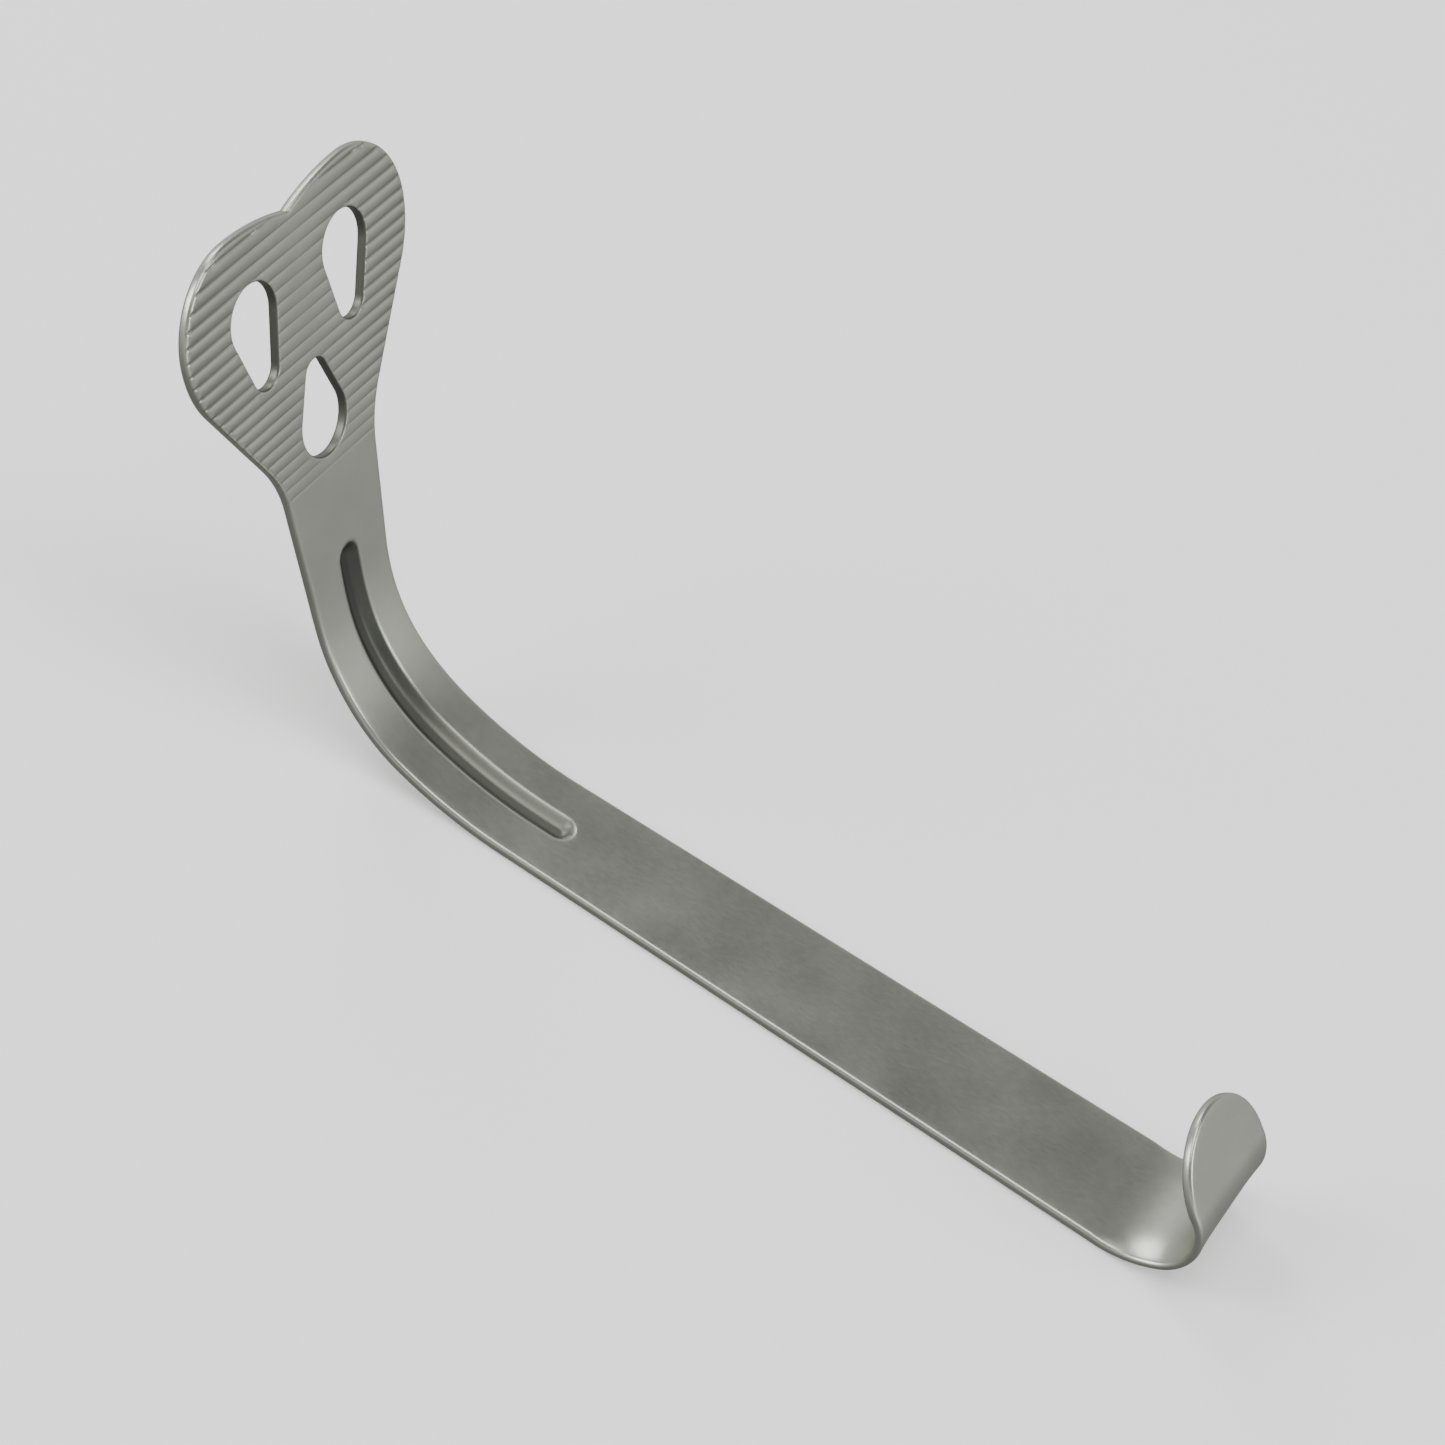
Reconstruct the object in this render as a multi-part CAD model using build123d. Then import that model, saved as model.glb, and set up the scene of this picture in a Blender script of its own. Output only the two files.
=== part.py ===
from build123d import *
import math
import os

# Fenestrated tongue retractor, pressed and bent from one strip of stainless sheet.
# The strip is written as four stretches that butt face to face and stay in one body.
# Millimetres. +X runs along the handle to the hook, +Z is the hollow side of both bends.

# The sheet
sheet = 1.3
edge_round = 0.45          # every outer edge is tumbled to this radius

# Handle: the flat stretch between the two bends
handle_length = 78.1
handle_width_at_neck = 15.0
handle_width_at_hook = 17.2

# Main bend: three arcs that meet tangent to tangent, radii on the hollow side
entry_radius, entry_angle = 50.0, 18.3
main_radius, main_angle = 24.5, 41.6
exit_radius, exit_angle = 46.0, 6.2
neck_width = 14.4          # narrowest, inside the main arc
neck_share = 0.6           # how far along the last two arcs it is narrowest
shank_lead = 6.0           # flat length at each end of the bend that belongs to the shank
shank_tail = 8.0

# Stiffening groove pressed along the bend, with a low rib on the back
groove_width = 4.2
groove_depth = 0.85
groove_before_bend = 4.2   # how far its two ends run on past the bend
groove_after_bend = 3.6
rib_width = 4.6
rib_height = 0.5
rib_start = 8.0            # into the bend, so that the flat underside stays flat

# Head: heart outline, measured up the plate from the end of the main bend
bend_end_width = 14.9
neck_flare = 5.2           # degrees each side, up to the waist
waist_level = 15.8         # where the neck's edges would meet the straight flanks of the heart
waist_radius = 14.0
flank_radius = 13.0        # below the widest level
lobe_radius = 10.1         # above it
notch_depth = 1.8          # below the tops of the two lobes
head_width = 41.9
widest_level = 37.4

# Windows: each is the hull of a wide circle and a narrow one
upper_wide_radius, upper_wide_at = 4.1, (8.75, 37.1)
upper_narrow_radius, upper_narrow_at = 2.3, (8.3, 30.6)
lower_wide_radius, lower_wide_level = 4.15, 19.5
lower_narrow_radius, lower_narrow_level = 1.9, 25.4

# Serrations across the hollow face of the head
first_tooth = 13.9         # level of the lowest groove
tooth_pitch = 1.42         # between the two lowest grooves
pitch_growth = 0.013       # added to the pitch at each groove
tooth_count = 22
tooth_depth = 0.22
tooth_width = 0.75

# Finger hook: a long easy arc, then a tight one, radii on the hollow side
hook_lead_radius, hook_lead_angle = 13.6, 33.8
hook_radius, hook_angle = 5.6, 95.6
hook_straight = 0.3        # before the round end

main_runs = [(entry_radius, entry_angle), (main_radius, main_angle), (exit_radius, exit_angle)]
hook_runs = [(hook_lead_radius, hook_lead_angle), (hook_radius, hook_angle)]


def arc_length(runs):
    return sum(radius * math.radians(angle) for radius, angle in runs)


def station(runs, distance, lift=0.0):
    """Point and heading on the hollow face, in (ahead, up), lift above that face."""
    ahead, up, heading = min(distance, 0.0), 0.0, 0.0
    left = max(distance, 0.0)
    for radius, angle in runs:
        turn = min(left / radius, math.radians(angle))
        ahead += radius * (math.sin(heading + turn) - math.sin(heading))
        up += radius * (math.cos(heading) - math.cos(heading + turn))
        heading += turn
        left -= radius * turn
    ahead += left * math.cos(heading)
    up += left * math.sin(heading)
    return ahead - lift * math.sin(heading), up + lift * math.cos(heading), heading


def stops(runs, start, end):
    """The distances where the run changes radius, between start and end."""
    marks, total = [0.0], 0.0
    for radius, angle in runs:
        total += radius * math.radians(angle)
        marks.append(total)
    return [start] + [m for m in marks if start + 1e-6 < m < end - 1e-6] + [end]


def trail(runs, start, end, lift, place):
    """Lines and arcs that follow the sheet from start to end, lift above its hollow face."""
    edges = []
    marks = stops(runs, start, end)
    total = arc_length(runs)
    for a, b in zip(marks, marks[1:]):
        ends = [place(station(runs, d, lift)) for d in (a, (a + b) / 2, b)]
        straight = b <= 1e-6 or a >= total - 1e-6
        edges.append(Line(ends[0], ends[2]) if straight else ThreePointArc(*ends))
    return edges


def head_side(spot):
    return (-spot[0], 0, spot[1])


def hook_side(spot):
    return (handle_length + spot[0], 0, spot[1])


def bent_strip(runs, start, end, place, width):
    """The sheet between two stations, as a straight-sided strip."""
    hollow = trail(runs, start, end, 0, place)
    back = trail(runs, start, end, -sheet, place)
    caps = [Line(hollow[0] @ 0, back[0] @ 0), Line(hollow[-1] @ 1, back[-1] @ 1)]
    side = make_face([*hollow, *back, *caps])
    return extrude(side, amount=width / 2, dir=(0, 1, 0), both=True)


def plate_plane(runs, distance, place):
    """Plane on the hollow face at a station: x across, y along the sheet, z out of the hollow face."""
    base = Vector(*place(station(runs, distance)))
    ahead = Vector(*place(station(runs, distance + 1))) - base
    out = Vector(*place(station(runs, distance, 1))) - base
    return Plane(origin=base, x_dir=ahead.cross(out), z_dir=out)


def circle_hull(big, big_at, small, small_at):
    """A wide circle and a narrow one joined by their outer tangents."""
    big_at, small_at = Vector(*big_at), Vector(*small_at)
    along = (small_at - big_at).normalized()
    lean = math.degrees(math.acos((big - small) / (small_at - big_at).length))
    rays = [along.rotate(Axis.Z, lean), along.rotate(Axis.Z, -lean)]
    corners = [big_at + rays[0] * big, small_at + rays[0] * small]
    corners += [small_at + rays[1] * small, big_at + rays[1] * big]
    bridge = make_face(Polyline(*corners, close=True))
    return bridge + Pos(*big_at) * Circle(big) + Pos(*small_at) * Circle(small)


def arc_about(centre, start, end):
    """The short arc from start to end around a centre."""
    middle = ((start - centre) + (end - centre)).normalized() * (start - centre).length
    return ThreePointArc(start, centre + middle, end)


def neck_half(level):
    """Half width of the neck at a level above the main bend's end."""
    return bend_end_width / 2 + math.tan(math.radians(neck_flare)) * level


def chord_radius(width, depth):
    """Radius of the circle that is this wide where it stands this deep below its chord."""
    return (width**2 / 4 + depth**2) / (2 * depth)


def half_heart():
    """Right half of the head's outline, from the shank's end up to the notch."""
    slope = math.radians(neck_flare)
    widest = Vector(head_width / 2, widest_level)
    flank_centre = widest - Vector(flank_radius, 0)
    corner = Vector(neck_half(waist_level), waist_level)
    # the flank runs from the corner as a tangent to the circle below the widest level
    reach = flank_centre - corner
    lean = math.atan2(reach.X, reach.Y) + math.asin(flank_radius / reach.length)
    flank_top = flank_centre + Vector(math.cos(lean), -math.sin(lean)) * flank_radius
    tail = Vector(neck_half(shank_tail), shank_tail)
    trim = waist_radius * math.tan((lean - slope) / 2)
    neck_line = (corner - tail).normalized()
    below = corner - neck_line * trim
    above = corner + (flank_top - corner).normalized() * trim
    waist_centre = below + Vector(neck_line.Y, -neck_line.X) * waist_radius
    lobe_centre = widest - Vector(lobe_radius, 0)
    lobe_top = lobe_centre + Vector(0, lobe_radius)
    notch = Vector(0, lobe_top.Y - notch_depth)
    crown_centre = lobe_top - Vector(0, chord_radius(2 * lobe_top.X, notch_depth))
    return [
        Line(Vector(0, shank_tail), tail),
        Line(tail, below),
        arc_about(waist_centre, below, above),
        Line(above, flank_top),
        arc_about(flank_centre, flank_top, widest),
        arc_about(lobe_centre, widest, lobe_top),
        arc_about(crown_centre, lobe_top, notch),
        Line(notch, Vector(0, shank_tail)),
    ]


def teeth(plate):
    """One vee cutter for each groove across the hollow face, wider than the head."""
    level, cutters = first_tooth, []
    for tooth in range(tooth_count):
        vee = [(level - tooth_width / 2, 0), (level, -tooth_depth), (level + tooth_width / 2, 0)]
        vee += [(level + tooth_width / 2, sheet), (level - tooth_width / 2, sheet)]
        profile = make_face(Polyline(*[plate.from_local_coords((0, y, z)) for y, z in vee], close=True))
        cutters.append(extrude(profile, amount=head_width, dir=plate.x_dir, both=True))
        level += tooth_pitch + pitch_growth * tooth
    return cutters


def rounded_rim(blank, butts, radius):
    """Rounds every edge of a sheet stretch except those on the faces where stretches butt."""
    free = [e for e in blank.edges() if all(abs(b.to_local_coords(e @ 0.5).Z) > 0.01 for b in butts)]
    broad = [e for e in free if e.length > 2 * sheet]
    return fillet(broad, radius)


def cross_plane(runs, distance, place):
    """Plane square across the sheet at a station."""
    plate = plate_plane(runs, distance, place)
    return Plane(origin=plate.origin, x_dir=plate.x_dir, z_dir=plate.y_dir)


def fenestrated_head():
    plate = plate_plane(main_runs, arc_length(main_runs), head_side)
    half = make_face(half_heart())
    blank = extrude(plate * (half + mirror(half, about=Plane.YZ)), amount=sheet, dir=-plate.z_dir)
    butt = cross_plane(main_runs, arc_length(main_runs) + shank_tail, head_side)
    blank = rounded_rim(blank, [butt], edge_round)
    upper = circle_hull(upper_wide_radius, upper_wide_at, upper_narrow_radius, upper_narrow_at)
    lower = circle_hull(
        lower_wide_radius, (0, lower_wide_level), lower_narrow_radius, (0, lower_narrow_level)
    )
    for window in (upper, mirror(upper, about=Plane.YZ), lower):
        blank -= extrude(plate * window, amount=2 * sheet, dir=plate.z_dir, both=True)
    return blank - teeth(plate)


def shank_outline():
    """The shank's outline seen along the handle, which narrows it inside the main arc."""
    total = arc_length(main_runs)
    entry = arc_length(main_runs[:1])
    neck = entry + neck_share * (total - entry)
    marks = [(entry, handle_width_at_neck / 2), (neck, neck_width / 2), (total, bend_end_width / 2)]
    points = [Vector(0, half, station(main_runs, s)[1]) for s, half in marks]
    top = Vector(0, neck_half(shank_tail), station(main_runs, total + shank_tail + 2 * sheet)[1])
    foot = Vector(0, handle_width_at_neck / 2, -2 * sheet)
    side = [Line(foot, points[0]), Spline(*points, tangents=[(0, 0, 1), tuple(top - points[-1])])]
    side += [Line(points[-1], top), Line(top, Vector(0, 0, top.Z))]
    side += [Line(Vector(0, 0, top.Z), Vector(0, 0, foot.Z)), Line(Vector(0, 0, foot.Z), foot)]
    half = make_face(side)
    return half + mirror(half, about=Plane.XZ)


def groove_tool(radius, centre_lift, start, end):
    """A round bar that follows the bend, with ball ends."""
    path = Wire(trail(main_runs, start, end, centre_lift, head_side))
    first = station(main_runs, start, centre_lift)
    last = station(main_runs, end, centre_lift)
    bar = sweep(Plane(origin=path @ 0, z_dir=path % 0) * Circle(radius), path=path)
    return bar + Pos(*head_side(first)) * Sphere(radius) + Pos(*head_side(last)) * Sphere(radius)


def back_rib(start, end):
    """The low rib that the pressed groove raises on the back, rooted at mid-sheet."""
    radius = chord_radius(rib_width, rib_height)
    centre = sheet / 2 + rib_height - radius
    lens = Pos(0, centre) * Circle(radius) & Rectangle(4 * radius, 4 * radius, align=(Align.CENTER, Align.MIN))
    path = Wire(trail(main_runs, start, end, -sheet / 2, head_side))
    rib = sweep(Plane(origin=path @ 0, x_dir=(0, 1, 0), z_dir=path % 0) * lens, path=path)
    for spot in (start, end):
        middle = plate_plane(main_runs, spot, head_side).offset(-sheet / 2)
        behind = Plane(origin=middle.origin, x_dir=middle.x_dir, z_dir=-middle.z_dir)
        room = Box(4 * radius, 4 * radius, 2 * radius, align=(Align.CENTER, Align.CENTER, Align.MIN))
        rib += behind * (Pos(0, 0, centre) * Sphere(radius) & room)
    return rib


def grooved_shank():
    total = arc_length(main_runs)
    wide = max(handle_width_at_neck, bend_end_width) + 2 * shank_tail
    blank = bent_strip(main_runs, -shank_lead, total + shank_tail, head_side, wide)
    blank &= extrude(shank_outline(), amount=4 * total, dir=(1, 0, 0), both=True)
    butts = [cross_plane(main_runs, s, head_side) for s in (-shank_lead, total + shank_tail)]
    blank = rounded_rim(blank, butts, edge_round)
    end = total + groove_after_bend - groove_width / 2
    blank += back_rib(rib_start + rib_width / 2, end)
    groove = chord_radius(groove_width, groove_depth)
    return blank - groove_tool(groove, groove - groove_depth, groove_width / 2 - groove_before_bend, end)


def flat_handle():
    start, end = shank_lead, handle_length
    a, b = handle_width_at_neck / 2, handle_width_at_hook / 2
    plan = make_face(Polyline((start, a), (end, b), (end, -b), (start, -a), close=True))
    blank = extrude(plan, amount=sheet, dir=(0, 0, -1))
    butts = [Plane(origin=(x, 0, 0), z_dir=(1, 0, 0)) for x in (start, end)]
    return rounded_rim(blank, butts, edge_round)


def finger_hook():
    total = arc_length(hook_runs)
    curl = bent_strip(hook_runs, 0, total + hook_straight, hook_side, handle_width_at_hook)
    tab = plate_plane(hook_runs, total + hook_straight, hook_side)
    round_end = Circle(handle_width_at_hook / 2) & Pos(0, handle_width_at_hook / 2) * Rectangle(
        handle_width_at_hook, handle_width_at_hook
    )
    blank = curl + extrude(tab * round_end, amount=sheet, dir=-tab.z_dir)
    return rounded_rim(blank, [Plane(origin=(handle_length, 0, 0), z_dir=(1, 0, 0))], edge_round)


pieces = {
    "fenestrated_head": fenestrated_head(),
    "grooved_shank": grooved_shank(),
    "flat_handle": flat_handle(),
    "finger_hook": finger_hook(),
}

# The origin is the centre of the whole box's underside.
whole = Compound(children=[Part(piece.wrapped) for piece in pieces.values()]).bounding_box()
home = Pos(-whole.center().X, -whole.center().Y, -whole.min.Z)
os.makedirs("parts", exist_ok=True)
for name, piece in pieces.items():
    export_step(home * piece, f"parts/{name}.step")
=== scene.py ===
import bpy
import math
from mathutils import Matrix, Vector
from mathutils.geometry import delaunay_2d_cdt


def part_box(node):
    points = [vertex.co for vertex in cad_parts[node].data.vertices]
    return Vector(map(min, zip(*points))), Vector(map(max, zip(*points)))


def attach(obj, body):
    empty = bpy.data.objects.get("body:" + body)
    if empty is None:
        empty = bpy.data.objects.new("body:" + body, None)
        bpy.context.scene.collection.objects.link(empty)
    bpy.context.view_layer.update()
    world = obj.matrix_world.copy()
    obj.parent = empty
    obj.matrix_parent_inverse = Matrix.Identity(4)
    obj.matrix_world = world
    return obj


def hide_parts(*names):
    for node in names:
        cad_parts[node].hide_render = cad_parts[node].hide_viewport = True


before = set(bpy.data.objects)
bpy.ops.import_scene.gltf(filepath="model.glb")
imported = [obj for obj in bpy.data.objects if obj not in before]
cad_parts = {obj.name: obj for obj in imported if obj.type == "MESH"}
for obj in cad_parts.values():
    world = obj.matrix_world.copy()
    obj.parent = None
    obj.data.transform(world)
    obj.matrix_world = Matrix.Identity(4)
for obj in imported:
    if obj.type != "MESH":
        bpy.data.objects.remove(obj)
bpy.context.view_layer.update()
print("frame loaded:", sorted(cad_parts))

mm = 0.001
handleLow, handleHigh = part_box("flat_handle")
headLow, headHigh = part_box("fenestrated_head")
hookLow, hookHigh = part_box("finger_hook")


# A node socket that can be used in sums
class Wire:
    def __init__(self, board, socket):
        self.board = board
        self.socket = socket

    def calc(self, operation, *others, clamp=False):
        return self.board.put("ShaderNodeMath", {"operation": operation, "use_clamp": clamp}, [self, *others])

    def __add__(self, other):
        return self.calc("ADD", other)

    def __radd__(self, other):
        return self.calc("ADD", other)

    def __sub__(self, other):
        return self.calc("SUBTRACT", other)

    def __rsub__(self, other):
        return self.board.put("ShaderNodeMath", {"operation": "SUBTRACT"}, [other, self])

    def __mul__(self, other):
        return self.calc("MULTIPLY", other)

    def __rmul__(self, other):
        return self.calc("MULTIPLY", other)

    def __truediv__(self, other):
        return self.calc("DIVIDE", other)

    def __rtruediv__(self, other):
        return self.board.put("ShaderNodeMath", {"operation": "DIVIDE"}, [other, self])

    def __pow__(self, other):
        return self.calc("POWER", other)

    def __lt__(self, other):
        return self.calc("LESS_THAN", other)

    def __neg__(self):
        return self.calc("MULTIPLY", -1)


# A node tree, and the one way that nodes are added to it
class Board:
    def __init__(self, tree):
        self.tree = tree

    def put(self, kind, settings=None, sockets=None, out=0):
        node = self.tree.nodes.new(kind)
        for key, value in (settings or {}).items():
            if key == "stops":
                while len(node.color_ramp.elements) < len(value):
                    node.color_ramp.elements.new(1)
                for stop, (place, colour) in zip(node.color_ramp.elements, value):
                    stop.position = place
                    stop.color = (*colour, 1)
            else:
                setattr(node, key, value)
        named = sockets.items() if isinstance(sockets, dict) else enumerate(sockets or [])
        for key, value in named:
            if isinstance(value, Wire):
                self.tree.links.new(value.socket, node.inputs[key])
            else:
                node.inputs[key].default_value = value
        return Wire(self, node.outputs[out]) if len(node.outputs) else node


# x runs along the strip, 0 where the main bend starts, positive towards the hook
# y runs across it, and z is 0 on the hollow face and minus the sheet's thickness on the back

strip = {
    "sheet": handleHigh.z - handleLow.z,
    "handleLength": 78.1 * mm,
    "halfAtNeck": 7.5 * mm,
    "halfAtHook": (hookHigh.y - hookLow.y) / 2,
    "halfNarrowest": 7.2 * mm,
    "narrowestAt": 0.6,              # share of the way from the main arc's start to the bend's end
    "halfAtBendEnd": 7.45 * mm,
    "neckFlare": math.radians(5.2),
    "hookStraight": 0.3 * mm,
    "edgeRadius": 0.45 * mm,
    "windowRadius": 0.3 * mm,
}

bends = {
    "hookCamber": 0.3 * mm,          # how far the strip's edges fall back where it is curled
    "mainCamber": 0.12 * mm,
    "hookBevel": 0.42 * mm,          # how far the hollow face is dressed down at the hook's edges
    "bevelReach": 0.5,               # share of the half width that it reaches in from each edge
    # each arc's radius on the hollow side, and its turn in degrees
    "mainArcs": [(50.0 * mm, 18.3), (24.5 * mm, 41.6), (46.0 * mm, 6.2)],
    "hookArcs": [(13.6 * mm, 33.8), (5.6 * mm, 95.6)],
}

heart = {
    "half": (headHigh.y - headLow.y) / 2,
    "widestLevel": 37.4 * mm,        # levels are measured up the plate from the bend's end
    "waistLevel": 15.8 * mm,         # where the neck's edges would meet the straight flanks
    "waistRadius": 14.0 * mm,
    "flankRadius": 13.0 * mm,
    "lobeRadius": 10.1 * mm,
    "notchDepth": 1.8 * mm,
}

windows = [   # wide circle, narrow circle: radius, level, across
    ((4.10 * mm, 37.1 * mm, 8.75 * mm), (2.3 * mm, 30.6 * mm, 8.3 * mm)),
    ((4.10 * mm, 37.1 * mm, -8.75 * mm), (2.3 * mm, 30.6 * mm, -8.3 * mm)),
    ((4.15 * mm, 19.5 * mm, 0), (1.9 * mm, 25.4 * mm, 0)),
]

teeth = {
    "first": 13.9 * mm,
    "pitch": 1.42 * mm,
    "growth": 0.013 * mm,
    "count": 22,
    "depth": 0.14 * mm,
    "width": 0.46 * mm,
    "wearScale": 140.0,
    "wornShare": 0.45,               # depth that the patches of wear give or take
    "edgeShare": 1.1,                # how much of their depth they gain towards the head's sides
    "fadeIn": 9.0 * mm,              # length over which the lowest teeth grow to full depth
    "lowest": 0.45,                  # share of the depth that the lowest tooth has
    "deepest": 1.4,                  # at the head's sides, in depths
    "rowsAcross": (-1, -0.66, -0.33, 0, 0.33, 0.66, 1),   # where a tooth's facets end, in half widths
}

groove = {
    "width": 4.3 * mm,
    "depth": 0.9 * mm,
    "wall": 1.7 * mm,
    "beforeBend": 4.2 * mm,
    "afterBend": 3.6 * mm,
    "ribWidth": 4.8 * mm,
    "ribHeight": 0.5 * mm,
    "ribStart": 8.0 * mm,
}

meshing = {
    "outlineStep": 0.3 * mm,
    "rimStep": 0.5 * mm,
    "toothedRimStep": 0.16 * mm,
    "rimTurns": 5,                   # facets on each rounded corner of the edge
    "acrossHalf": 8.4 * mm,          # how far the loose points reach to each side of the strip
    "acrossStep": 0.7 * mm,
    "bendStep": 0.6 * mm,
    "neckStep": 0.8 * mm,
    "neckMargins": (0.5 * mm, 0.2 * mm),
    "backStep": 1.2 * mm,
    "handleStep": 2.0 * mm,
    "handleAcross": 1.4 * mm,
    "handleMargin": 1.5 * mm,
    "hookStep": 0.35 * mm,
    "hookAcross": 1.2 * mm,
    "grooveStep": 0.22 * mm,
    "grooveStretch": 1.4,            # its facets are this much longer than they are wide
    "grooveMargins": (0.6 * mm, 0.4 * mm),
    "clear": 0.1 * mm,               # least gap between a loose point and a rim
    "roughStep": 0.4 * mm,           # of the loops that the inside test uses
}


def arcLength(arcs):
    return sum(radius * math.radians(angle) for radius, angle in arcs)


bendLength = arcLength(bends["mainArcs"])
hookLength = arcLength(bends["hookArcs"]) + strip["hookStraight"]
tabEnd = strip["handleLength"] + hookLength


# Points on an arc, angles in radians from +x towards +y
def arcPoints(centre, radius, start, end, step):
    count = max(2, math.ceil(abs(end - start) * radius / step))
    turns = [start + (end - start) * i / count for i in range(count + 1)]
    return [Vector((centre[0] + radius * math.cos(a), centre[1] + radius * math.sin(a))) for a in turns]


def hermite(a, b, slopeA, slopeB, length, t):
    return (a * (1 + 2 * t) * (1 - t) ** 2 + slopeA * length * t * (1 - t) ** 2
            + b * t * t * (3 - 2 * t) - slopeB * length * t * t * (1 - t))


# Half width of the strip from the bend's end to the hook, by distance along it
def halfWidth(along):
    entry = arcLength(bends["mainArcs"][:1])
    neckAt = entry + strip["narrowestAt"] * (bendLength - entry)
    if along >= 0:
        share = min(along / strip["handleLength"], 1)
        return strip["halfAtNeck"] + (strip["halfAtHook"] - strip["halfAtNeck"]) * share
    if -along < entry:
        return strip["halfAtNeck"]
    if -along < neckAt:
        length = neckAt - entry
        return hermite(strip["halfAtNeck"], strip["halfNarrowest"], 0, 0, length, (-along - entry) / length)
    length = bendLength - neckAt
    slope = math.tan(strip["neckFlare"])
    return hermite(strip["halfNarrowest"], strip["halfAtBendEnd"], 0, slope, length, (-along - neckAt) / length)


# The head's outline on one side, in (level, across), from the bend's end to the notch
def heartSide(step):
    slope = strip["neckFlare"]
    level = heart["widestLevel"]
    flankCentre = Vector((level, heart["half"] - heart["flankRadius"]))
    lobeCentre = Vector((level, heart["half"] - heart["lobeRadius"]))
    base = strip["halfAtBendEnd"]
    corner = Vector((heart["waistLevel"], base + math.tan(slope) * heart["waistLevel"]))
    reach = flankCentre - corner
    lean = math.atan2(reach.y, reach.x) + math.asin(heart["flankRadius"] / reach.length)
    trim = heart["waistRadius"] * math.tan((lean - slope) / 2)
    below = corner - Vector((math.cos(slope), math.sin(slope))) * trim
    waistCentre = below + Vector((-math.sin(slope), math.cos(slope))) * heart["waistRadius"]
    depth = heart["notchDepth"]
    crownRadius = (lobeCentre.y ** 2 + depth ** 2) / (2 * depth)
    crownCentre = lobeCentre + Vector((heart["lobeRadius"] - crownRadius, 0))
    right = math.pi / 2
    side = [Vector((0, base))]
    side += arcPoints(waistCentre, heart["waistRadius"], slope - right, lean - right, step)
    side += arcPoints(flankCentre, heart["flankRadius"], right + lean, right, step)
    side += arcPoints(lobeCentre, heart["lobeRadius"], right, 0, step)[1:]
    side += arcPoints(crownCentre, crownRadius, 0, -math.asin(lobeCentre.y / crownRadius), step)[1:]
    return side


# The same open line with points added so that no run is longer than stepAt says there
def refined(points, stepAt):
    line = [points[0]]
    for a, b in zip(points, points[1:]):
        parts = max(1, math.ceil((b - a).length / stepAt((a + b) / 2)))
        line += [a.lerp(b, i / parts) for i in range(1, parts + 1)]
    return line


# The blank's closed outline, anticlockwise seen from the hollow face
def outline():
    head = [Vector((-bendLength - p.x, p.y)) for p in reversed(heartSide(meshing["outlineStep"]))]
    bendSteps = math.ceil(bendLength / meshing["rimStep"])
    bend = [-bendLength * (1 - i / bendSteps) for i in range(1, bendSteps + 1)]
    side = head + [Vector((x, halfWidth(x))) for x in [*bend, strip["handleLength"]]]
    half = strip["halfAtHook"]
    side.append(Vector((tabEnd, half)))
    side += arcPoints((tabEnd, 0), half, math.pi / 2, 0, meshing["rimStep"])[1:]

    def stepAt(spot):
        toothed = -bendLength - spot.x > teeth["first"] - teeth["width"]
        return meshing["toothedRimStep"] if toothed else meshing["rimStep"]

    side = refined(side, stepAt)
    other = [Vector((p.x, -p.y)) for p in reversed(side[1:-1])]
    return list(reversed(side + other))


# A window's closed outline: the hull of its two circles, clockwise seen from the hollow face
def windowLoop(wide, narrow):
    big = Vector((-bendLength - wide[1], wide[2]))
    small = Vector((-bendLength - narrow[1], narrow[2]))
    along = small - big
    aim = math.atan2(along.y, along.x)
    lean = math.acos((wide[0] - narrow[0]) / along.length)
    step = meshing["toothedRimStep"]
    loop = arcPoints(big, wide[0], aim + lean, aim + 2 * math.pi - lean, step)
    loop += arcPoints(small, narrow[0], aim - lean, aim + lean, step)
    loop = refined([*loop, loop[0]], lambda spot: step)[:-1]
    return list(reversed(loop))


# The loop moved into the metal, which lies on its left
def insets(loop, distance):
    moved = []
    for i, spot in enumerate(loop):
        along = (loop[(i + 1) % len(loop)] - loop[i - 1]).normalized()
        moved.append(spot + Vector((-along.y, along.x)) * distance)
    return moved


# (inset, height) down the rounded edge, from the hollow face to the back
def edgeProfile(radius):
    quarter = [math.pi / 2 * i / meshing["rimTurns"] for i in range(meshing["rimTurns"] + 1)]
    top = [(radius * (1 - math.sin(a)), -radius * (1 - math.cos(a))) for a in quarter]
    low = [(inset, -strip["sheet"] - height) for inset, height in reversed(top)]
    return top + low


def toothLevels():
    level, levels = teeth["first"], []
    for i in range(teeth["count"]):
        levels.append(level)
        level += teeth["pitch"] + teeth["growth"] * i
    return levels


def spaced(start, end, step):
    count = max(1, round((end - start) / step))
    return [start + (end - start) * i / count for i in range(count + 1)]


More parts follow.
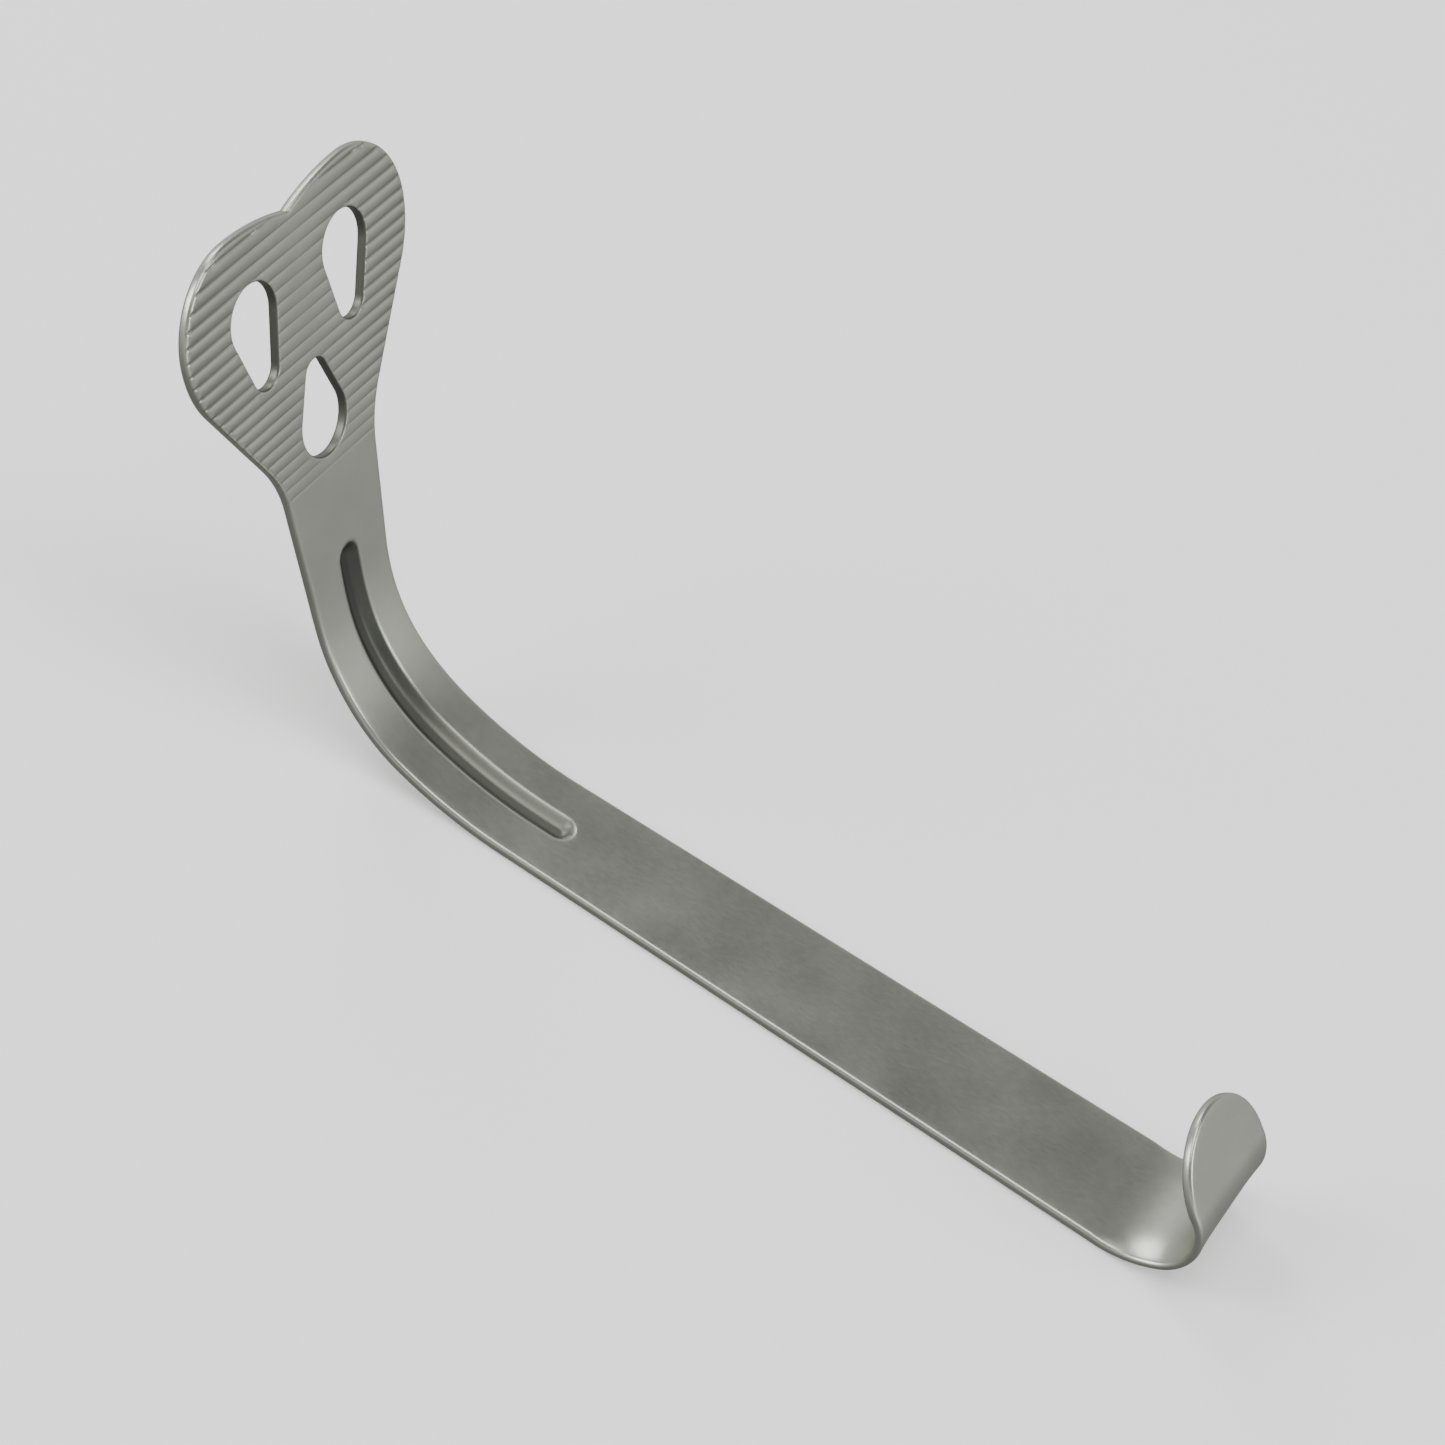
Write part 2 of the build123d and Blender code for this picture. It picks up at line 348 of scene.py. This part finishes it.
# Points inside the blank that give the face enough facets to bend, press and cut
def loosePoints(front):
    half = teeth["width"] / 2
    side = meshing["acrossHalf"]
    levels = toothLevels()
    headTop = bendLength + heart["widestLevel"] + heart["lobeRadius"]
    if front:
        rows = []
        for level, following in zip(levels, [*levels[1:], levels[-1] + teeth["pitch"]]):
            rows += [level + half * share for share in teeth["rowsAcross"]]
            rows.append((level + following) / 2)
        rows = [-bendLength - level for level in rows]
        low, high = meshing["neckMargins"]
        neck = spaced(bendLength + low, bendLength + levels[0] - half - high, meshing["neckStep"])
        rows += [-x for x in neck]
    else:
        rows = [-x for x in spaced(bendLength, headTop, meshing["backStep"])]
    grid = [(x, y) for x in rows for y in spaced(-heart["half"], heart["half"], meshing["acrossStep"])]
    margin = meshing["handleMargin"]
    stretches = [   # start, end, step along, step across
        (-bendLength, 0, meshing["bendStep"], meshing["acrossStep"]),
        (margin, strip["handleLength"] - margin, meshing["handleStep"], meshing["handleAcross"]),
        (strip["handleLength"], tabEnd + strip["halfAtHook"], meshing["hookStep"], meshing["hookAcross"]),
    ]
    for start, end, along, across in stretches:
        grid += [(x, y) for x in spaced(start, end, along) for y in spaced(-side, side, across)]
    beyond, beside = meshing["grooveMargins"]
    reach = groove["ribWidth"] / 2 + beside
    start, end = -bendLength - groove["afterBend"] - beyond, groove["beforeBend"] + beyond
    grid = [(x, y) for x, y in grid if not (start < x < end and abs(y) < reach)]
    for x in spaced(start, end, meshing["grooveStretch"] * meshing["grooveStep"]):
        grid += [(x, y) for y in spaced(-reach, reach, meshing["grooveStep"])]
    return [Vector(p) for p in grid]


def insideLoop(loop, spot):
    inside = False
    for a, b in zip(loop, loop[1:] + loop[:1]):
        if (a.y > spot.y) != (b.y > spot.y) and spot.x < a.x + (b.x - a.x) * (spot.y - a.y) / (b.y - a.y):
            inside = not inside
    return inside


# A thinner copy of a loop, for quick inside tests
def coarse(loop, step):
    kept = [loop[0]]
    for spot in loop[1:]:
        if (spot - kept[-1]).length > step:
            kept.append(spot)
    return kept


# Triangles between the rims, with the loose points in them. The first rim is the outer one
def facePatch(rims, front):
    inner, *holes = [coarse(insets(rim, meshing["clear"]), meshing["roughStep"]) for rim in rims]
    loose = [p for p in loosePoints(front) if insideLoop(inner, p) and not any(insideLoop(h, p) for h in holes)]
    points, faces, first = [], [], 0
    for rim in rims:
        points += rim
        faces.append(list(range(first, first + len(rim))))
        first += len(rim)
    edges = [(loop[i - 1], loop[i]) for loop in faces for i in range(len(loop))]
    made = delaunay_2d_cdt(points + loose, edges, [], 1, 1e-9)
    spots, triangles, origins = made[0], made[2], made[3]
    holeOf = {}
    for number, loop in enumerate(faces[1:], 1):
        holeOf.update({i: number for i in loop})
    kept = []
    for triangle in triangles:
        owners = [{holeOf.get(o, 0) for o in origins[v]} for v in triangle]
        if not set.intersection(*owners) - {0}:   # all three on one window's rim
            kept.append(triangle)
    return spots, origins, kept


# The closed mesh of the flat blank, with rounded edges and its three windows
def flatBlank():
    loops = [(outline(), strip["edgeRadius"])] + [(windowLoop(*w), strip["windowRadius"]) for w in windows]
    verts, faces, pierced = [], [], []
    frontRims, backRims, frontIds, backIds = [], [], [], []
    for number, (loop, radius) in enumerate(loops):
        rings = []
        for inset, height in edgeProfile(radius):
            rings.append(range(len(verts), len(verts) + len(loop)))
            verts += [(p.x, p.y, height) for p in insets(loop, inset)]
            pierced += [float(number > 0 and inset < radius / 2)] * len(loop)
        for upper, lower in zip(rings, rings[1:]):
            for i in range(len(loop)):
                j = (i + 1) % len(loop)
                faces.append((upper[i], lower[i], lower[j], upper[j]))
        frontRims.append(insets(loop, radius))
        backRims.append(insets(loop, radius))
        frontIds += list(rings[0])
        backIds += list(rings[-1])
    sides = ((frontRims, frontIds, 0, True), (backRims, backIds, -strip["sheet"], False))
    for rims, ids, height, front in sides:
        spots, origins, triangles = facePatch(rims, front)
        idOf = {}
        for i, spot in enumerate(spots):
            rim = [o for o in origins[i] if o < len(ids)]
            if rim:
                idOf[i] = ids[rim[0]]
            else:
                idOf[i] = len(verts)
                verts.append((spot.x, spot.y, height))
        for a, b, c in triangles:
            turn = (spots[b] - spots[a]).cross(spots[c] - spots[a]) > 0
            faces.append(tuple(idOf[i] for i in ((a, b, c) if turn == front else (a, c, b))))
    mesh = bpy.data.meshes.new("retractor")
    mesh.from_pydata(verts, [], faces)
    pierced += [0.0] * (len(verts) - len(pierced))
    mesh.attributes.new("pierced", "FLOAT", "POINT").data.foreach_set("value", pierced)
    mesh.validate()
    mesh.update()
    return mesh


# Where a point of the flat strip goes: (ahead, up), for a distance along and a lift above the hollow face
def bendAlong(board, along, lift, arcs):
    ahead, up, heading = along.calc("MINIMUM", 0), 0, 0
    left = along.calc("MAXIMUM", 0)
    for radius, angle in arcs:
        turn = (left / radius).calc("MINIMUM", angle)
        start = heading
        heading = turn + start
        if isinstance(start, Wire):
            ahead = ahead + (heading.calc("SINE") - start.calc("SINE")) * radius
            up = up + (start.calc("COSINE") - heading.calc("COSINE")) * radius
        else:
            ahead = ahead + heading.calc("SINE") * radius
            up = (1 - heading.calc("COSINE")) * radius
        left = left - turn * radius
    ahead = ahead + left * heading.calc("COSINE") - lift * heading.calc("SINE")
    up = up + left * heading.calc("SINE") + lift * heading.calc("COSINE")
    return ahead, up


# Geometry nodes that cut the teeth, press the groove and bend the flat blank
def pressTree():
    tree = bpy.data.node_groups.new("pressAndBend", "GeometryNodeTree")
    board = Board(tree)
    tree.interface.new_socket("Geometry", in_out="OUTPUT", socket_type="NodeSocketGeometry")
    tree.interface.new_socket("Geometry", in_out="INPUT", socket_type="NodeSocketGeometry")
    values = {}

    def ask(name, value):
        kind = "NodeSocketMaterial" if value is None else "NodeSocketFloat"
        values[name] = (tree.interface.new_socket(name, in_out="INPUT", socket_type=kind).identifier, value)

    for i, (radius, angle) in enumerate(bends["mainArcs"], 1):
        ask(f"Main Radius {i}", radius)
        ask(f"Main Angle {i}", math.radians(angle))
    for i, (radius, angle) in enumerate(bends["hookArcs"], 1):
        ask(f"Hook Radius {i}", radius)
        ask(f"Hook Angle {i}", math.radians(angle))
    ask("Hook Camber", bends["hookCamber"])
    ask("Main Camber", bends["mainCamber"])
    ask("Hook Bevel", bends["hookBevel"])
    ask("Bevel Reach", bends["bevelReach"])
    ask("Hook Length", hookLength)
    ask("Half Width", strip["halfAtHook"])
    ask("Handle Length", strip["handleLength"])
    ask("Bend Length", bendLength)
    ask("Sheet", strip["sheet"])
    ask("First Tooth", teeth["first"])
    ask("Tooth Pitch", teeth["pitch"])
    ask("Pitch Growth", teeth["growth"])
    ask("Tooth Count", teeth["count"])
    ask("Tooth Depth", teeth["depth"])
    ask("Tooth Width", teeth["width"])
    ask("Wear Scale", teeth["wearScale"])
    ask("Worn Share", teeth["wornShare"])
    ask("Edge Share", teeth["edgeShare"])
    ask("Fade In", teeth["fadeIn"])
    ask("Lowest Tooth", teeth["lowest"])
    ask("Deepest Tooth", teeth["deepest"])
    ask("Head Half", heart["half"])
    ask("Groove Width", groove["width"])
    ask("Groove Depth", groove["depth"])
    ask("Groove Wall", groove["wall"])
    ask("Groove Before Bend", groove["beforeBend"])
    ask("Groove After Bend", groove["afterBend"])
    ask("Rib Width", groove["ribWidth"])
    ask("Rib Height", groove["ribHeight"])
    ask("Rib Start", groove["ribStart"])
    ask("Home X", handleHigh.x - strip["handleLength"])
    ask("Home Z", handleHigh.z)
    ask("Material", None)
    entry = tree.nodes.new("NodeGroupInput")
    asked = {name: Wire(board, entry.outputs[name]) for name in ["Geometry", *values]}

    place = board.put("GeometryNodeInputPosition")
    flat = board.put("GeometryNodeStoreNamedAttribute", {"data_type": "FLOAT_VECTOR", "domain": "POINT"},
                     {"Geometry": asked["Geometry"], "Name": "flatPlace", "Value": place})
    split = tree.nodes.new("ShaderNodeSeparateXYZ")
    tree.links.new(place.socket, split.inputs[0])
    x, y, z = (Wire(board, split.outputs[i]) for i in range(3))

    # teeth: the nearest groove to this level, from the sum of the growing pitches
    level = -x - asked["Bend Length"]
    halfGrowth = asked["Pitch Growth"] / 2
    base = asked["Tooth Pitch"] - halfGrowth
    above = (level - asked["First Tooth"]).calc("MAXIMUM", 0)
    root = (base * base + halfGrowth * above * 4).calc("SQRT")
    number = ((root - base) / asked["Pitch Growth"]).calc("ROUND").calc("MINIMUM", asked["Tooth Count"] - 1)
    centre = asked["First Tooth"] + number * base + number * number * halfGrowth
    cut = (1 - (level - centre).calc("ABSOLUTE") / asked["Tooth Width"] * 2).calc("MAXIMUM", 0)
    patch = board.put("ShaderNodeTexNoise", {}, {"Vector": place, "Scale": asked["Wear Scale"], "Detail": 2.0})
    worn = y.calc("ABSOLUTE") / asked["Head Half"] * asked["Edge Share"] + patch * asked["Worn Share"]
    fade = above / asked["Fade In"] * (1 - asked["Lowest Tooth"]) + asked["Lowest Tooth"]
    cut = cut * worn.calc("MINIMUM", asked["Deepest Tooth"]) * fade.calc("MINIMUM", 1)
    onFace = -z < asked["Tooth Depth"] * 1.5
    marked = board.put("GeometryNodeStoreNamedAttribute", {"data_type": "FLOAT", "domain": "POINT"},
                       {"Geometry": flat, "Name": "toothCut", "Value": cut * onFace})
    z = z.calc("MINIMUM", -(cut * asked["Tooth Depth"]))

    # groove: distance from its centre line, whose ends are rounded
    reach = asked["Groove Width"] / 2
    tail = asked["Groove Before Bend"] - reach
    tip = -asked["Bend Length"] - asked["Groove After Bend"] + reach
    overrun = (x - tail).calc("MAXIMUM", 0) + (tip - x).calc("MAXIMUM", 0)
    off = (overrun * overrun + y * y).calc("SQRT")
    inward = ((reach - off) / asked["Groove Wall"]).calc("MAXIMUM", 0).calc("MINIMUM", 1)
    dip = inward * inward * (3 - 2 * inward) * asked["Groove Depth"]
    inFront = -z < asked["Sheet"] / 2
    lined = board.put("GeometryNodeStoreNamedAttribute", {"data_type": "FLOAT", "domain": "POINT"},
                      {"Geometry": marked, "Name": "grooveDip", "Value": inward * inFront})
    ribReach = asked["Rib Width"] / 2
    ribOverrun = (x + asked["Rib Start"] + ribReach).calc("MAXIMUM", 0) + (tip - x).calc("MAXIMUM", 0)
    ribOff = (ribOverrun * ribOverrun + y * y).calc("SQRT")
    ribIn = (1 - ribOff / ribReach).calc("MAXIMUM", 0)
    rise = ribIn * (2 - ribIn) * asked["Rib Height"]
    share = (-z / asked["Sheet"]).calc("MAXIMUM", 0).calc("MINIMUM", 1)
    z = z - dip * (1 - share) - rise * share

    # camber: a strip bent this tightly falls back at its edges, and its hollow edge is dressed down
    side = (y / asked["Half Width"]).calc("ABSOLUTE")
    curled = (1 - ((x - asked["Handle Length"]) / asked["Hook Length"] * 2 - 1) ** 2).calc("MAXIMUM", 0)
    inBend = (1 - (-x / asked["Bend Length"] * 2 - 1) ** 2).calc("MAXIMUM", 0)
    z = z - side ** 4 * curled * asked["Hook Camber"] - side ** 2 * inBend * asked["Main Camber"]
    dressed = ((side - 1) / asked["Bevel Reach"] + 1).calc("MAXIMUM", 0)
    z = z - dressed * dressed * curled * (1 - share) * asked["Hook Bevel"]

    # bends: the head side runs towards -x, the hook side towards +x
    def askedArcs(name):
        count = len(bends[f"{name.lower()}Arcs"])
        return [(asked[f"{name} Radius {i}"], asked[f"{name} Angle {i}"]) for i in range(1, count + 1)]

    headAhead, headUp = bendAlong(board, -x, z, askedArcs("Main"))
    hookAhead, hookUp = bendAlong(board, x - asked["Handle Length"], z, askedArcs("Hook"))
    onHead = x.calc("LESS_THAN", 0)
    newX = onHead * -headAhead + (1 - onHead) * (hookAhead + asked["Handle Length"]) + asked["Home X"]
    newZ = onHead * headUp + (1 - onHead) * hookUp + asked["Home Z"]
    bent = board.put("ShaderNodeCombineXYZ", {}, [newX, y, newZ])
    moved = board.put("GeometryNodeSetPosition", {}, {"Geometry": lined, "Position": bent})
    smooth = board.put("GeometryNodeSetShadeSmooth", {}, {"Geometry": moved})
    real = board.put("GeometryNodeRealizeInstances", {}, {"Geometry": smooth})
    coated = board.put("GeometryNodeSetMaterial", {}, {"Geometry": real, "Material": asked["Material"]})
    leave = tree.nodes.new("NodeGroupOutput")
    tree.links.new(coated.socket, leave.inputs[0])
    return tree, values


# Turns the modifiers' result into the piece's plain mesh
def bakedMesh(piece):
    view = bpy.context.evaluated_depsgraph_get()
    made = bpy.data.meshes.new_from_object(piece.evaluated_get(view))
    piece.modifiers.clear()
    piece.data = made


steel = {
    "colour": (0.385, 0.395, 0.345),
    "lightColour": (0.445, 0.455, 0.40),
    "toothShadeColour": (0.12, 0.125, 0.105),      # painted shade in the teeth's cuts
    "toothShadeShare": 0.7,                     # how far the teeth go towards it
    # painted shade inside the pressed groove, darker again in the bend
    "grooveShadeColour": (0.17, 0.175, 0.15),
    "bendGrooveShadeColour": (0.07, 0.073, 0.063),
    "darkensFrom": 13.0 * mm,                # distance from the bend's start where the groove's painted shade deepens
    "darkensOver": 14.0 * mm,
    "nearLip": 0.36,                         # share of the groove's wall left out of the painted shade, on each side; wider on the near side, which so shows a broader bright lip
    "farLip": 0.05,
    "piercedColour": (0.14, 0.145, 0.125),   # the windows' sheared walls
    "lipSharpness": 5,
    "cloudScale": 90.0,
    "cloudContrast": 1.6,
    "grainScale": (900, 2400, 900),
    "grainContrast": 0.3,
    "grainDepth": 0.0002,
    "grainStrength": 0.05,
    "roughness": 0.32,
    "cloudRoughness": 0.14,
    "grainRoughness": 0.12,
    "dullRoughness": 0.12,
}


# One colour where the factor is 0, the other where it is 1
def mixed(board, factor, first, second):
    low, high = [c if isinstance(c, Wire) else (*c, 1) for c in (first, second)]
    return board.put("ShaderNodeMix", {"data_type": "RGBA"}, {"Factor": factor, 6: low, 7: high}, out=2)


def satinSteel():
    material = bpy.data.materials.new("satinSteel")
    material.use_nodes = True
    tree = material.node_tree
    tree.nodes.clear()
    board = Board(tree)
    flat = board.put("ShaderNodeAttribute", {"attribute_name": "flatPlace"}, out="Vector")
    streaks = board.put("ShaderNodeMapping", {}, {"Vector": flat, "Scale": steel["grainScale"]})
    grain = board.put("ShaderNodeTexNoise", {}, {
        "Vector": streaks, "Scale": 1.0, "Detail": 4.0, "Roughness": 0.6})
    cloud = board.put("ShaderNodeTexNoise", {}, {"Vector": flat, "Scale": steel["cloudScale"], "Detail": 3.0})
    cut = board.put("ShaderNodeAttribute", {"attribute_name": "toothCut"}, out="Fac")
    dip = board.put("ShaderNodeAttribute", {"attribute_name": "grooveDip"}, out="Fac")
    across = board.put("ShaderNodeSeparateXYZ", {}, [flat], out="Y")
    # painted shade inside the groove, beyond a lip that is wider on the near side, and darker in the bend
    lip = (across < 0) * (steel["nearLip"] - steel["farLip"]) + steel["farLip"]
    grooveShadeMask = ((dip - lip) * steel["lipSharpness"]).calc("MULTIPLY", 1, clamp=True)
    along = board.put("ShaderNodeSeparateXYZ", {}, [flat], out="X")
    bendShadeShare = ((-along - steel["darkensFrom"]) / steel["darkensOver"]).calc("MULTIPLY", 1, clamp=True)
    # painted shade in the teeth's cuts, deeper where a tooth is cut deeper
    toothShadeMask = (cut * steel["toothShadeShare"]).calc("MINIMUM", 1)
    pierced = board.put("ShaderNodeAttribute", {"attribute_name": "pierced"}, out="Fac")
    mottle = ((cloud - 0.5) * steel["cloudContrast"] + 0.5).calc(
        "ADD", (grain - 0.5) * steel["grainContrast"], clamp=True)
    clean = mixed(board, mottle, steel["colour"], steel["lightColour"])
    toothed = mixed(board, toothShadeMask, clean, steel["toothShadeColour"])
    grooveShaded = mixed(board, bendShadeShare, steel["grooveShadeColour"], steel["bendGrooveShadeColour"])
    pressed = mixed(board, grooveShadeMask, toothed, grooveShaded)
    colour = mixed(board, pierced, pressed, steel["piercedColour"])
    uneven = (grain - 0.5) * steel["grainRoughness"] + (cloud - 0.5) * steel["cloudRoughness"]
    roughness = steel["roughness"] + uneven + (toothShadeMask + grooveShadeMask + pierced) * steel["dullRoughness"]
    bump = board.put("ShaderNodeBump", {}, {
        "Strength": steel["grainStrength"], "Distance": steel["grainDepth"], "Height": grain})
    shader = board.put("ShaderNodeBsdfPrincipled", {}, {
        "Base Color": colour,
        "Metallic": 1.0,
        "Roughness": roughness,
        "Normal": bump,
    })
    out = tree.nodes.new("ShaderNodeOutputMaterial")
    tree.links.new(shader.socket, out.inputs["Surface"])
    return material


def buildRetractor():
    piece = bpy.data.objects.new("retractor", flatBlank())
    bpy.context.scene.collection.objects.link(piece)
    tree, values = pressTree()
    press = piece.modifiers.new("pressAndBend", "NODES")
    press.node_group = tree
    values["Material"] = (values["Material"][0], satinSteel())
    for identifier, value in values.values():
        press[identifier] = float(value) if isinstance(value, (int, float)) else value
    bakedMesh(piece)
    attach(piece, "root")
    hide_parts("fenestrated_head", "grooved_shank", "flat_handle", "finger_hook")
    print("retractor:", len(piece.data.vertices), "points,", len(piece.data.polygons), "faces")
    return piece


buildRetractor()


stage = {
    "floorSize": 6.0,
    "floorColour": (0.92, 0.92, 0.92),
    "floorRoughness": 0.9,
    "floorGlow": 0.25,
    "sky": [   # height of the direction, from 0 straight down to 1 straight up, and its brightness
        (0.12, (0.28, 0.28, 0.28)),
        (0.32, (0.46, 0.46, 0.46)),
        (0.52, (0.88, 0.88, 0.88)),
        (0.65, (0.84, 0.84, 0.84)),
        (0.78, (0.52, 0.52, 0.52)),
        (0.85, (0.26, 0.26, 0.26)),
    ],
    "lights": [   # name, place, aim, size, power
        ("overhead", (0.0, -0.1, 1.2), (0, 0, 0), (0.9, 0.9), 8.4),
        ("key", (1.05, 0.24, 0.68), (0, 0, 0), (0.6, 0.6), 5.8),
        ("fill", (-1.1, -0.85, 0.85), (0, 0, 0), (0.8, 0.8), 15),
        ("rimLight", (1.04, -0.5, 0.16), (0, 0, 0.03), (0.4, 0.2), 0.9),
        ("hookLight", (-0.77, 0.42, 0.725), (0.05, 0, 0), (0.42, 0.42), 3.7),
    ],
}


def buildFloor():
    half = stage["floorSize"] / 2
    mesh = bpy.data.meshes.new("floor")
    corners = [(-half, -half, 0), (half, -half, 0), (half, half, 0), (-half, half, 0)]
    mesh.from_pydata(corners, [], [(0, 1, 2, 3)])
    floor = bpy.data.objects.new("floor", mesh)
    bpy.context.scene.collection.objects.link(floor)
    paper = bpy.data.materials.new("palePaper")
    paper.use_nodes = True
    shader = paper.node_tree.nodes["Principled BSDF"]
    shader.inputs["Base Color"].default_value = (*stage["floorColour"], 1)
    shader.inputs["Roughness"].default_value = stage["floorRoughness"]
    shader.inputs["Emission Color"].default_value = (*stage["floorColour"], 1)
    shader.inputs["Emission Strength"].default_value = stage["floorGlow"]
    mesh.materials.append(paper)
    floor.visible_glossy = False   # the steel reflects the sky's own dark ground instead


def areaLight(name, place, aim, size, power):
    light = bpy.data.lights.new(name, "AREA")
    light.shape = "RECTANGLE"
    light.size, light.size_y = size
    light.energy = power
    lamp = bpy.data.objects.new(name, light)
    lamp.location = place
    lamp.rotation_euler = (Vector(aim) - Vector(place)).to_track_quat("-Z", "Y").to_euler()
    bpy.context.scene.collection.objects.link(lamp)


def buildLights():
    world = bpy.data.worlds.new("studio")
    bpy.context.scene.world = world
    world.use_nodes = True
    board = Board(world.node_tree)
    aim = board.put("ShaderNodeTexCoord", out="Generated")
    height = board.put("ShaderNodeSeparateXYZ", {}, [aim], out="Z")
    shade = board.put("ShaderNodeValToRGB", {"stops": stage["sky"]}, [height * 0.5 + 0.5])
    world.node_tree.links.new(shade.socket, world.node_tree.nodes["Background"].inputs["Color"])
    for name, place, aimAt, size, power in stage["lights"]:
        areaLight(name, place, aimAt, size, power)


camera = {
    "place": (91.77 * mm, -338.8 * mm, 377.59 * mm),
    "turn": (43.384, -14.764, 30.743),
    "lens": 112.6,
    "sensor": 36.0,
    "nearest": 0.01,
}


def buildCamera():
    data = bpy.data.cameras.new("camera")
    data.lens = camera["lens"]
    data.sensor_width = camera["sensor"]
    data.clip_start = camera["nearest"]
    eye = bpy.data.objects.new("camera", data)
    eye.location = camera["place"]
    eye.rotation_euler = [math.radians(a) for a in camera["turn"]]
    bpy.context.scene.collection.objects.link(eye)
    bpy.context.scene.camera = eye


buildFloor()
buildLights()
buildCamera()
print("stage ready")
